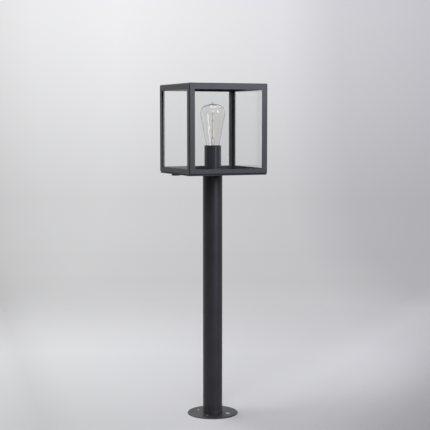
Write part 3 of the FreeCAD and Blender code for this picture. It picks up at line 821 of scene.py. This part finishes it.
def round_places(radius: float, count: int, height: float) -> list[Point]:
    """Evenly spaced points on a level circle, the first on +X.

    Args:
        radius: the circle's radius.
        count: how many points.
        height: the circle's height.

    Returns:
        The points.
    """
    turns = [math.tau * row / count for row in range(count)]
    return [(radius * math.cos(turn), radius * math.sin(turn), height) for turn in turns]


def in_metres(profile: Pairs) -> list[Span]:
    """A profile in metres, from one in millimetres."""
    return [(radius * MM, height * MM) for radius, height in profile]


@dataclass(frozen=True)
class PanScrew:
    """Pan-head screw with a driver's recess, its head standing on the origin and its shank below."""

    head_radius: float
    head_height: float
    shank_radius: float
    shank_length: float
    recess: Recess
    recess_width: float
    recess_depth: float
    steps: int = 40
    blade_share: float = 0.22
    socket_sides: int = 6
    socket_floor: Span = (0.9, 0.85)
    tip: Span = (0.8, 0.9)
    dome: Pairs = ((0.97, 0.0), (1.0, 0.06), (1.0, 0.42), (0.96, 0.64), (0.87, 0.83), (0.73, 0.95), (0.56, 1.0))

    def cutters(self) -> list[bpy.types.Object]:
        """Makes the blocks that cut the recess.

        Returns:
            Two crossed blades, or one hexagon.
        """
        top = self.head_height
        if self.recess is Recess.CROSS:
            blade = (self.recess_width, self.recess_width * self.blade_share, self.recess_depth * 2)
            return [Hand.box((0.0, 0.0, top), blade, turn) for turn in (0.0, 90.0)]
        radius, reach = self.recess_width / 2, self.recess_depth
        narrow, deep = self.socket_floor
        hexagon = [(radius * narrow, top - reach), (radius, top - reach * deep), (radius, top + reach)]
        return [Hand.turned(hexagon, self.socket_sides)]

    def build(self) -> bpy.types.Object:
        """Models the screw.

        Returns:
            The screw.
        """
        narrow, low = self.tip
        shank = [
            (self.shank_radius * narrow, -self.shank_length), (self.shank_radius, -self.shank_length * low),
            (self.shank_radius, 0.0),
        ]
        head = [(self.head_radius * out, self.head_height * up) for out, up in self.dome]
        screw = Hand.turned(shank + head, self.steps)
        for cutter in self.cutters():
            Hand.combine(screw, cutter, Merge.CUT_AWAY)
        Hand.smooth(screw, degrees=32.0)
        return screw


@dataclass
class Assembly(ABC):
    """A sub-assembly of the light."""

    shop: Workshop

    @abstractmethod
    def dress(self) -> None:
        """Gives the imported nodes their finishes."""

    def model(self) -> None:
        """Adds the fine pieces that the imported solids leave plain, where there are any."""


@dataclass
class FootAndPost(Assembly):
    """Round foot, grommet, stub, tube and the plate on top."""

    foot_coat: DrilledCoat = DrilledCoat()
    # Painted light: the collar has the post's black coat, painted lighter.
    collar_coat_painted_lighter: PowderCoat = PowderCoat(deep=(0.020, 0.020, 0.023), thin=(0.026, 0.026, 0.030))

    def dress(self) -> None:
        """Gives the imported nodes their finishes."""
        self.shop.dress(Slot.COAT, ["base_plate"], self.foot_coat)
        self.shop.dress(Slot.COAT, ["post_spigot"], self.collar_coat_painted_lighter)
        self.shop.dress(Slot.COAT, ["post_tube", "head_plate"])
        self.shop.dress(Slot.RUBBER, ["cable_grommet"])
        self.shop.dress(Slot.STEEL, ["post_grub_screws"])


@dataclass
class TrayAndHolder(Assembly):
    """Tray, its seal and fixings, and the lampholder in its smoother cup, whose coat is painted lighter than the
    rest of the black coat.
    """

    # Painted light: the cup's coat is lighter than the rest of the black coat, standing in for light inside the
    # cage.
    cup_coat_painted_lighter: PowderCoat = PowderCoat(deep=(0.030, 0.030, 0.035), thin=(0.037, 0.037, 0.043), satin=(0.23, 0.28))
    tray_coat: PowderCoat = PowderCoat(satin=(0.60, 0.66))
    tray_top: float = 625.0 * MM
    tray_screw: PanScrew = PanScrew(
        head_radius=4.5 * MM, head_height=3.0 * MM, shank_radius=2.5 * MM, shank_length=5.0 * MM,
        recess=Recess.HEXAGON, recess_width=3.5 * MM, recess_depth=1.9 * MM,
    )
    tray_screw_circle: float = 33.0 * MM
    tray_screw_count: int = 4
    earth_screw: PanScrew = PanScrew(
        head_radius=4.0 * MM, head_height=2.6 * MM, shank_radius=2.0 * MM, shank_length=3.0 * MM,
        recess=Recess.CROSS, recess_width=4.4 * MM, recess_depth=1.5 * MM,
    )
    earth_place: Point = (42.4264 * MM, 42.4264 * MM, 626.0 * MM)
    mark_place: Point = (56.0 * MM, 56.0 * MM, 624.95 * MM)
    mark_height: float = 0.35 * MM
    mark_line: float = 0.55 * MM
    mark_ring: float = 5.2 * MM
    mark_bars: Pairs = ((5.0 * MM, 0.0), (3.3 * MM, -1.3 * MM), (1.6 * MM, -2.6 * MM))
    mark_stem: Span = (0.0, 3.2 * MM)
    mark_steps: int = 48
    mark_rounding: float = 0.3

    def earth_mark(self) -> bpy.types.Object:
        """Raised earth sign: a stem on three ever shorter bars, in a ring.

        Returns:
            The sign, in its place on the tray.
        """
        high, line, ring = self.mark_height, self.mark_line, self.mark_ring
        low, top = self.mark_stem
        parts = [Hand.box((0.0, y, high / 2), (width, line, high)) for width, y in self.mark_bars]
        parts.append(Hand.box((0.0, (low + top) / 2, high / 2), (line, top - low, high)))
        inner = ring - line
        edge = [(ring, 0.0), (ring, high), (inner, high), (inner, 0.0), (ring, 0.0)]
        parts.append(Hand.turned(edge, self.mark_steps))
        sign = Hand.joined(parts)
        bevel = sign.modifiers.new("edge", "BEVEL")
        bevel.width = high * self.mark_rounding
        bevel.segments = 2
        Hand.apply(sign)
        Hand.smooth(sign, degrees=35.0)
        return Hand.repeated(sign, [self.mark_place])

    def model(self) -> None:
        """Adds screws with recesses in their heads, and the earth sign."""
        screws = Hand.repeated(
            self.tray_screw.build(), round_places(self.tray_screw_circle, self.tray_screw_count, self.tray_top)
        )
        self.shop.add_piece(screws, "socket_tray_screws", Slot.STEEL, Body.ROOT, "tray_screws")
        earth = Hand.repeated(self.earth_screw.build(), [self.earth_place])
        self.shop.add_piece(earth, "cross_earth_screw", Slot.STEEL, Body.ROOT, "earth_screw")
        self.shop.add_piece(self.earth_mark(), "earth_mark", Slot.COAT, Body.ROOT)

    def dress(self) -> None:
        """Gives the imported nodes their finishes."""
        self.shop.dress(Slot.COAT, ["tray"], self.tray_coat)
        self.shop.dress(Slot.COAT, ["holder_cup"], self.cup_coat_painted_lighter)
        self.shop.dress(Slot.RUBBER, ["tray_gasket"])
        self.shop.dress(Slot.STEEL, ["earth_washer", "nipple_nut"])
        self.shop.dress(Slot.BRASS, ["threaded_nipple", "screw_shell", "centre_contact", "terminal_screws"])
        self.shop.dress(Slot.PORCELAIN, ["contact_insert"])
        self.shop.dress(Slot.MOULDING, ["lampholder_cap", "lampholder_body"])


@dataclass
class Bulb(Assembly):
    """Clear pear-shaped bulb with four yellow filaments and a screw cap."""

    cap_profile: Pairs = (
        (7.0, 667.8), (9.0, 667.8), (12.0, 670.0), (12.35, 670.6), (12.35, 685.4), (12.8, 686.0), (12.95, 686.8),
        (12.95, 689.6), (13.1, 690.0), (13.0, 690.3), (12.4, 690.3), (12.1, 689.9), (12.1, 670.9), (8.8, 668.5),
        (7.0, 668.5), (7.0, 667.8),
    )
    thread_radius: float = 12.3 * MM
    thread_foot: float = 671.7 * MM
    thread_half: Span = (0.75 * MM, 1.15 * MM)
    thread_pitch: float = 25.4 / 7 * MM
    thread_turns: float = 3.4
    turn_steps: int = 96
    wire_sides: int = 12
    lead_route: tuple[Point, ...] = (
        (0.25, 1.9, 687.5), (0.25, 1.9, 700.2), (0.50, 1.8, 700.8), (0.50, 1.7, 702.4), (0.25, 1.7, 703.0),
        (0.25, 1.5, 711.0), (0.25, 1.6, 713.8), (0.25, 2.2, 715.1),
    )
    sleeve_sides: int = 24
    sleeve_profile: Pairs = ((0.93, 0.0), (1.02, 0.1), (1.02, 1.5), (0.93, 1.6))
    filament_circle: float = 2.4 * MM
    filament_count: int = 4
    sleeve_levels: Span = (715.7 * MM, 759.1 * MM)
    hook_level: float = 775.0 * MM
    hook_length: float = 7.0 * MM
    hook_wire: float = 0.7 * MM
    hook_turn: float = -22.6

    def thread(self) -> bpy.types.Object:
        """The rolled thread, as a bead that winds up round the cap.

        Returns:
            The bead, closed at both ends.
        """
        Hand.clear()
        start = (self.thread_radius, 0.0, self.thread_foot)
        bpy.ops.mesh.primitive_circle_add(
            vertices=self.wire_sides, radius=1.0, location=start, rotation=(math.pi / 2, 0.0, 0.0)
        )
        bead = bpy.context.object
        bead.scale = (*self.thread_half, 1.0)
        Hand.settle(bead)
        wind = bead.modifiers.new("wind", "SCREW")
        wind.axis = "Z"
        wind.angle = math.tau * self.thread_turns
        wind.screw_offset = self.thread_pitch * self.thread_turns
        wind.steps = wind.render_steps = round(self.turn_steps * self.thread_turns)
        Hand.apply(bead)
        bpy.ops.object.mode_set(mode="EDIT")
        bpy.ops.mesh.select_all(action="DESELECT")
        bpy.ops.mesh.select_non_manifold()
        bpy.ops.mesh.edge_collapse()
        bpy.ops.mesh.select_all(action="SELECT")
        bpy.ops.mesh.normals_make_consistent(inside=False)
        bpy.ops.object.mode_set(mode="OBJECT")
        return bead

    def cap(self) -> bpy.types.Object:
        """Thin sheet cap with a plain skirt and a rolled thread.

        Returns:
            The cap.
        """
        cap = Hand.turned(in_metres(self.cap_profile), self.turn_steps)
        Hand.combine(cap, self.thread(), Merge.UNITE)
        Hand.smooth(cap, degrees=40.0)
        return cap

    def leads(self) -> bpy.types.Object:
        """Two wires up through the stem to the lower cross, each with a welded knot.

        Returns:
            The pair of wires.
        """
        wires = []
        for side in (-1.0, 1.0):
            rings = [Ring(r * MM, (side * x * MM, 0.0, z * MM)) for r, x, z in self.lead_route]
            wires.append(Hand.lofted(rings, self.wire_sides))
        pair = Hand.joined(wires)
        Hand.smooth(pair, degrees=50.0)
        return pair

    def sleeves(self) -> bpy.types.Object:
        """Metal sleeves on both ends of each filament.

        Returns:
            All the sleeves.
        """
        sleeve = Hand.turned(in_metres(self.sleeve_profile), self.sleeve_sides)
        Hand.smooth(sleeve, degrees=35.0)
        low, high = (round_places(self.filament_circle, self.filament_count, level) for level in self.sleeve_levels)
        return Hand.repeated(sleeve, low + high)

    def hook(self) -> bpy.types.Object:
        """Cross wire on the top of the filaments' rod, with its ends turned down.

        Returns:
            The wire.
        """
        wire = self.hook_wire
        cross = Hand.box((0.0, 0.0, self.hook_level), (self.hook_length, wire, wire), self.hook_turn)
        turn = math.radians(self.hook_turn)
        for side in (-0.5, 0.5):
            reach = side * (self.hook_length - wire)
            end = (reach * math.cos(turn), reach * math.sin(turn), self.hook_level - wire)
            Hand.combine(cross, Hand.box(end, (wire, wire, wire * 3), self.hook_turn), Merge.UNITE)
        Hand.smooth(cross, degrees=40.0)
        return cross

    def model(self) -> None:
        """Adds the threaded cap, the lead wires, the rod's hook and the filaments' end sleeves."""
        self.shop.add_piece(self.cap(), "threaded_bulb_cap", Slot.NICKEL, Body.BULB, "bulb_cap")
        self.shop.add_piece(self.leads(), "lead_wires", Slot.STEEL, Body.BULB)
        self.shop.add_piece(self.hook(), "support_hook", Slot.STEEL, Body.BULB)
        self.shop.add_piece(self.sleeves(), "filament_sleeves", Slot.STEEL, Body.BULB)

    def dress(self) -> None:
        """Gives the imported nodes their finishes."""
        self.shop.dress(Slot.BULB, ["bulb_glass", "bulb_stem"])
        self.shop.dress(Slot.NICKEL, ["bulb_contact"])
        self.shop.dress(Slot.MOULDING, ["bulb_insulator"])
        self.shop.dress(Slot.STEEL, ["filament_support"])
        self.shop.dress(Slot.PHOSPHOR, ["filaments"])


@dataclass
class Cage(Assembly):
    """Folded frame with its four panes and their fixings."""

    corners: tuple[str, ...] = ("front_left", "front_right", "back_right", "back_left")
    sides: tuple[str, ...] = ("front", "right", "back", "left")

    def dress(self) -> None:
        """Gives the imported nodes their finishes."""
        self.shop.dress(Slot.COAT, ["bottom_frame", "roof_cap"])
        self.shop.dress(Slot.COAT, [f"corner_post_{corner}" for corner in self.corners])
        self.shop.dress(Slot.PANE, [f"pane_{side}" for side in self.sides])
        self.shop.dress(Slot.COAT, ["glazing_clips", "weld_nuts"])
        self.shop.dress(Slot.RUBBER, ["glazing_tapes"])


@dataclass
class Thumbscrews(Assembly):
    """The two screws under the tray that clamp the cage."""

    def dress(self) -> None:
        """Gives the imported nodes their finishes."""
        self.shop.dress(Slot.COAT, ["thumb_screw_left", "thumb_screw_right"])


@dataclass(frozen=True)
class Softbox:
    """A rectangular studio lamp that faces a point."""

    name: str
    stand: Point
    aim: Point
    width: float
    height: float
    power: float
    colour: Colour = (1.0, 1.0, 1.0)
    flagged: bool = False

    def build(self, floor: bpy.types.Object) -> None:
        """Adds the lamp, unseen by the camera itself.

        Args:
            floor: what a flagged lamp doesn't light.
        """
        data = bpy.data.lights.new(self.name, "AREA")
        data.shape = "RECTANGLE"
        data.size = self.width
        data.size_y = self.height
        data.energy = self.power
        data.color = self.colour
        lamp = bpy.data.objects.new(self.name, data)
        lamp.location = self.stand
        lamp.rotation_euler = (Vector(self.aim) - Vector(self.stand)).to_track_quat("-Z", "Y").to_euler()
        lamp.visible_camera = False
        lamp.visible_transmission = False
        bpy.context.scene.collection.objects.link(lamp)
        if self.flagged:
            shaded = bpy.data.collections.new(f"{self.name}_flag")
            shaded.objects.link(floor)
            shaded.collection_objects[0].light_linking.link_state = "EXCLUDE"
            lamp.light_linking.receiver_collection = shaded


@dataclass
class Studio:
    """Pale floor that sweeps up into a round backdrop, soft lamps and the camera."""

    floor_radius: float = 3.4
    sweep_radius: float = 2.0
    wall_height: float = 4.6
    sweep_steps: int = 10
    sides: int = 96
    inset_share: float = 0.6
    # Painted light and shade in the paper's tone: paler up the wall, darker and cooler to the right, darker around
    # and just in front of the light and paler behind it, and darker where the floor meets the sweep.
    rise_painted_light: Pairs = ((0.0, 0.70), (0.25, 0.69), (0.90, 0.795), (1.50, 0.87), (2.50, 0.92))
    side_painted_falloff: Pairs = (
        (-2.0, 0.90), (-0.7, 1.0), (0.5, 0.88), (0.9, 0.74), (1.6, 0.65), (2.2, 0.80), (3.2, 0.98)
    )
    depth_painted_shade: Pairs = (
        (-0.9, 1.0), (-0.35, 0.90), (-0.14, 0.86), (0.13, 0.915), (0.78, 1.04), (1.2, 1.03), (1.8, 0.965), (2.8, 1.0)
    )
    # Painted shadow: the floor is darker to the front right of the light, at the picture's lower right.
    painted_shadow_way: Span = (0.9, -0.43)
    corner_painted_shadow: Pairs = (
        (-0.05, 1.0), (0.10, 1.08), (0.24, 1.05), (0.33, 0.98), (0.45, 0.82), (0.54, 0.75), (0.7, 0.80), (1.3, 1.0)
    )
    # Darker in a band to the left of the light.
    left_way: Span = (-0.8, -0.2)
    left_tones: Pairs = ((0.0, 1.0), (0.18, 0.965), (0.28, 0.93), (0.36, 0.85), (0.45, 0.89), (0.9, 1.0))
    reach_painted_shade: Pairs = ((0.8, 1.0), (1.8, 0.943), (2.4, 0.886), (3.4, 0.886), (5.4, 1.0))
    painted_cast_span: Span = (-0.6, 1.5)
    painted_cool_cast: Colour = (0.985, 0.975, 1.04)
    painted_warm_cast: Colour = (0.998, 0.998, 1.012)
    shadow_floor: Span = (1.0, 1.8)
    # Painted shade: in reflections the bowl's half towards the camera is painted dark.
    painted_dark_front: Span = (-1.0, 0.8)
    painted_front_share: float = 0.08
    world: Colour = (0.90, 0.92, 0.95)
    world_strength: float = 0.30
    camera_turn: float = -22.6338
    camera_swing: float = -0.1252
    camera_pitch: float = 4.8797
    camera_distance: float = 2.8184
    camera_height: float = 0.7574
    camera_focal: float = 1102.33
    image_width: float = 430.0
    sensor: float = 36.0
    lamps: list[Softbox] = field(
        default_factory=lambda: [
            Softbox("main", (-1.27, 1.24, 3.20), aim=(0.0, 0.0, 0.4), width=3.4, height=3.0, power=112.0),
            Softbox(
                "key", (1.20, -2.965, 1.75), aim=(0.0, 0.0, 1.20), width=0.5, height=1.6, power=86.0,
                colour=(0.85, 0.85, 1.0), flagged=True,
            ),
            Softbox("fill", (-0.90, -2.40, 2.50), aim=(0.0, 0.0, 0.75), width=2.0, height=1.4, power=28.0),
            Softbox("top", (-0.50, 0.80, 3.00), aim=(-0.10, 0.0, 0.0), width=1.2, height=1.2, power=4.0),
        ]
    )

    @property
    def sight(self) -> Point:
        """Level direction from the camera to the light."""
        turn = math.radians(self.camera_turn)
        return (-math.sin(turn), math.cos(turn), 0.0)

    @property
    def rightward(self) -> Point:
        """Level direction to the picture's right."""
        turn = math.radians(self.camera_turn)
        return (math.cos(turn), math.sin(turn), 0.0)

    def level(self, right: float, away: float) -> Point:
        """Level direction, from its shares to the picture's right and away from the camera."""
        return tuple(right * across + away * ahead for across, ahead in zip(self.rightward, self.sight))

    def paper(self) -> bpy.types.Material:
        """Pale paper whose tone carries painted light and shade. Far from the light it glows in that painted tone,
        so that it needs no lamps of its own.

        Returns:
            The material.
        """
        recipe = Recipe("backdrop_paper")
        recipe.set(Roughness=0.9, Specular_IOR_Level=0.2)
        reach = recipe.add("ShaderNodeVectorMath", operation="LENGTH")
        recipe.join(recipe.place, reach.inputs[0])
        ways = [
            ((0.0, 0.0, 1.0), self.rise_painted_light), (self.rightward, self.side_painted_falloff), (self.sight, self.depth_painted_shade),
            (self.level(*self.painted_shadow_way), self.corner_painted_shadow), (self.level(*self.left_way), self.left_tones),
        ]
        # Each layer paints light or shade into the paper's tone.
        tones = [(recipe.along(way), stops) for way, stops in ways]
        tones.append((reach.outputs["Value"], self.reach_painted_shade))
        layers = []
        for place, stops in tones:
            low, high = stops[0][0], stops[-1][0]
            spread = [((stop - low) / (high - low), (tone,) * 3) for stop, tone in stops]
            layers.append(recipe.tones(recipe.ranged(place, (low, high), (0.0, 1.0)), spread))
        tint = [(0.0, self.painted_warm_cast), (1.0, self.painted_cool_cast)]
        layers.append(recipe.tones(recipe.ranged(recipe.along(self.rightward), self.painted_cast_span, (0.0, 1.0)), tint))
        tone = reduce(recipe.times, layers)
        recipe.colour(tone)
        glow = recipe.add("ShaderNodeEmission")
        recipe.join(tone, glow.inputs["Color"])
        # Painted shade in reflections: the glow fades to black towards the camera.
        lit = recipe.ranged(recipe.along(self.sight), self.painted_dark_front, (self.painted_front_share, 1.0))
        dark = recipe.add("ShaderNodeBsdfTransparent")
        dark.inputs["Color"].default_value = (0.0, 0.0, 0.0, 1.0)
        painted_dark_front_reflection = recipe.mixed(lit, dark.outputs["BSDF"], glow.outputs["Emission"])
        paper = recipe.shader.outputs["BSDF"]
        far = recipe.ranged(reach.outputs["Value"], self.shadow_floor, (0.0, 1.0))
        pale = recipe.mixed(far, paper, glow.outputs["Emission"])
        dimmed = recipe.mixed(far, paper, painted_dark_front_reflection)
        seen = paper
        for ray, shown in ((Ray.CAMERA, pale), (Ray.GLOSSY, dimmed), (Ray.TRANSMITTED, pale)):
            seen = recipe.mixed(recipe.met_by(ray), seen, shown)
        recipe.join(seen, recipe.output.inputs["Surface"])
        return recipe.material

    def backdrop(self) -> bpy.types.Object:
        """Builds the floor and the wall as one bowl, extruded ring by ring.

        Returns:
            The bowl.
        """
        Hand.clear()
        bpy.ops.mesh.primitive_circle_add(vertices=self.sides, radius=self.floor_radius, fill_type="NGON")
        bowl = bpy.context.object
        bpy.ops.object.mode_set(mode="EDIT")
        bpy.ops.mesh.select_all(action="SELECT")
        bpy.ops.mesh.inset(thickness=self.floor_radius * self.inset_share)
        bpy.ops.mesh.select_all(action="DESELECT")
        bpy.ops.mesh.select_non_manifold()
        rings = [Ring(self.floor_radius, (0.0, 0.0, 0.0))]
        for step in range(1, self.sweep_steps + 1):
            angle = math.pi / 2 * step / self.sweep_steps
            out = self.floor_radius + self.sweep_radius * math.sin(angle)
            rings.append(Ring(out, (0.0, 0.0, self.sweep_radius * (1 - math.cos(angle)))))
        rings.append(Ring(rings[-1].radius, (0.0, 0.0, self.wall_height)))
        for start, end in zip(rings, rings[1:]):
            Hand.raise_ring(start, end)
        bpy.ops.object.mode_set(mode="OBJECT")
        Hand.smooth(bowl, degrees=40.0)
        bowl.name = bowl.data.name = "backdrop"
        bowl.data.materials.append(self.paper())
        return bowl

    def sky(self) -> None:
        """Lets pale light in from the open top."""
        world = bpy.data.worlds.new("studio")
        world.use_nodes = True
        ground = world.node_tree.nodes["Background"]
        ground.inputs["Color"].default_value = (*self.world, 1.0)
        ground.inputs["Strength"].default_value = self.world_strength
        bpy.context.scene.world = world

    def camera(self) -> None:
        """Sets the camera at the photograph's viewing angle."""
        data = bpy.data.cameras.new("camera")
        data.sensor_width = self.sensor
        data.lens = self.sensor * self.camera_focal / self.image_width
        camera = bpy.data.objects.new("camera", data)
        turn = math.radians(self.camera_turn)
        camera.location = (
            self.camera_distance * math.sin(turn),
            -self.camera_distance * math.cos(turn),
            self.camera_height,
        )
        heading = math.radians(self.camera_turn + self.camera_swing)
        camera.rotation_euler = (math.radians(90 - self.camera_pitch), 0, heading)
        bpy.context.scene.collection.objects.link(camera)
        bpy.context.scene.camera = camera

    def build(self) -> None:
        """Builds the whole studio."""
        bpy.context.scene.view_settings.view_transform = "Standard"
        floor = self.backdrop()
        self.sky()
        for lamp in self.lamps:
            lamp.build(floor)
        self.camera()


def main() -> None:
    """Loads the frame, dresses it and sets the studio round it."""
    logging.basicConfig(level=logging.INFO, format="%(name)s: %(message)s")
    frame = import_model()
    shop = Workshop(frame["nodes"])
    for assembly in (FootAndPost(shop), TrayAndHolder(shop), Bulb(shop), Cage(shop), Thumbscrews(shop)):
        assembly.model()
        assembly.dress()
    Studio().build()


if __name__ == "__main__":
    main()
